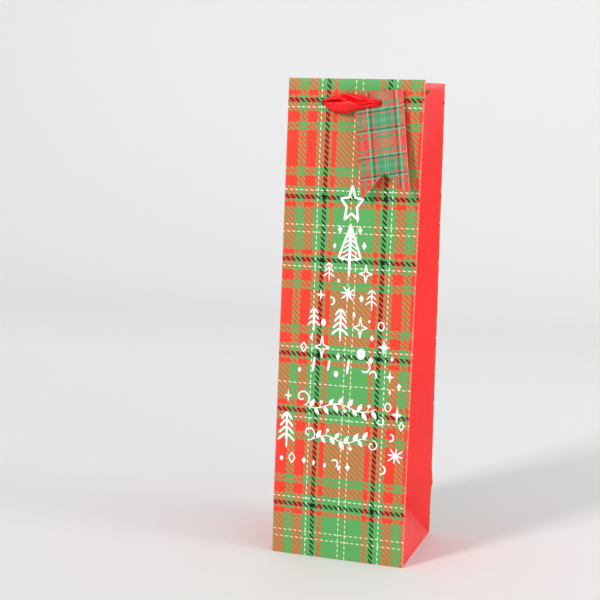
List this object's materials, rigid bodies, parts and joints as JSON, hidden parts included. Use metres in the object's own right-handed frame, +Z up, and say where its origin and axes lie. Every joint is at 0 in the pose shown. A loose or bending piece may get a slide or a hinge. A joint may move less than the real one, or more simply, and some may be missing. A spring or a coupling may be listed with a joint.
{
  "type": "wine gift bag",
  "caption": "Tall gusseted gift bag of laminated card for a wine bottle, with turned edge, base board, satin ribbon handles folded inside and a swallow-tailed gift tag.",
  "frame": {"origin": "centre of the base, on the surface the bag stands on", "axes": "+Z up towards the mouth, front wall with the tag at -Y, +X to the right seen from the front"},
  "size_m": [0.1, 0.091, 0.35],
  "materials": {
    "tartan_card": "gloss laminated print, red and green tartan with white winter motifs",
    "red_card": "gloss laminated plain red",
    "turned_edge": "laminated print carried over the turned edge",
    "inner_card": "uncoated white",
    "grey_board": "grey pulp board",
    "satin_ribbon": "red satin",
    "tag_card": "laminated print, small tartan"
  },
  "bodies": {
    "root": {"front_panel": "tartan_card", "back_panel": "tartan_card", "right_gusset_front": "red_card", "right_gusset_back": "red_card", "right_gusset_foot": "red_card", "left_gusset_front": "red_card", "left_gusset_back": "red_card", "left_gusset_foot": "red_card", "side_seam_flap": "inner_card", "front_hem": "turned_edge", "back_hem": "turned_edge", "right_hem_front": "turned_edge", "right_hem_back": "turned_edge", "left_hem_front": "turned_edge", "left_hem_back": "turned_edge", "front_stiffener": "grey_board", "back_stiffener": "grey_board", "base_flap_back": "inner_card", "base_flap_front": "inner_card", "base_flap_right": "inner_card", "base_flap_left": "inner_card", "base_board": "grey_board", "front_ribbon": "satin_ribbon", "back_ribbon": "satin_ribbon"},
    "front_tails": {"front_handle_tails": "satin_ribbon", "front_handle_knot": "satin_ribbon"},
    "front_loop": {"front_handle_loop": "satin_ribbon"},
    "back_tails": {"back_handle_tails": "satin_ribbon", "back_handle_knot": "satin_ribbon"},
    "back_loop": {"back_handle_loop": "satin_ribbon"},
    "tag_hanger": {"tag_ribbon": "satin_ribbon"},
    "tag": {"gift_tag": "tag_card"}
  },
  "joints": [
    {"name": "front_handle_raise", "type": "hinge", "parent": "root", "child": "front_tails", "pos_m": [0, -0.0313, 0.333], "axis": [1, 0, 0], "range_deg": [0, 180]},
    {"name": "front_handle_unfold", "type": "hinge", "parent": "front_tails", "child": "front_loop", "pos_m": [0, -0.02981, 0.277], "axis": [1, 0, 0], "range_deg": [-180, 0]},
    {"name": "back_handle_raise", "type": "hinge", "parent": "root", "child": "back_tails", "pos_m": [0, 0.0313, 0.333], "axis": [-1, 0, 0], "range_deg": [0, 180]},
    {"name": "back_handle_unfold", "type": "hinge", "parent": "back_tails", "child": "back_loop", "pos_m": [0, 0.02981, 0.277], "axis": [-1, 0, 0], "range_deg": [-180, 0]},
    {"name": "tag_lift", "type": "hinge", "parent": "root", "child": "tag_hanger", "pos_m": [0, -0.03703, 0.3491], "axis": [-1, 0, 0], "range_deg": [-2, 45]},
    {"name": "tag_swing", "type": "hinge", "parent": "tag_hanger", "child": "tag", "pos_m": [0.0185, -0.0376, 0.33311], "axis": [-0.0121, -0.9925, 0.1217], "range_deg": [-40, 30]}
  ],
  "couplings": [
    {"joint": "front_handle_unfold", "follows": "front_handle_raise", "ratio": -1},
    {"joint": "back_handle_unfold", "follows": "back_handle_raise", "ratio": -1}
  ]
}
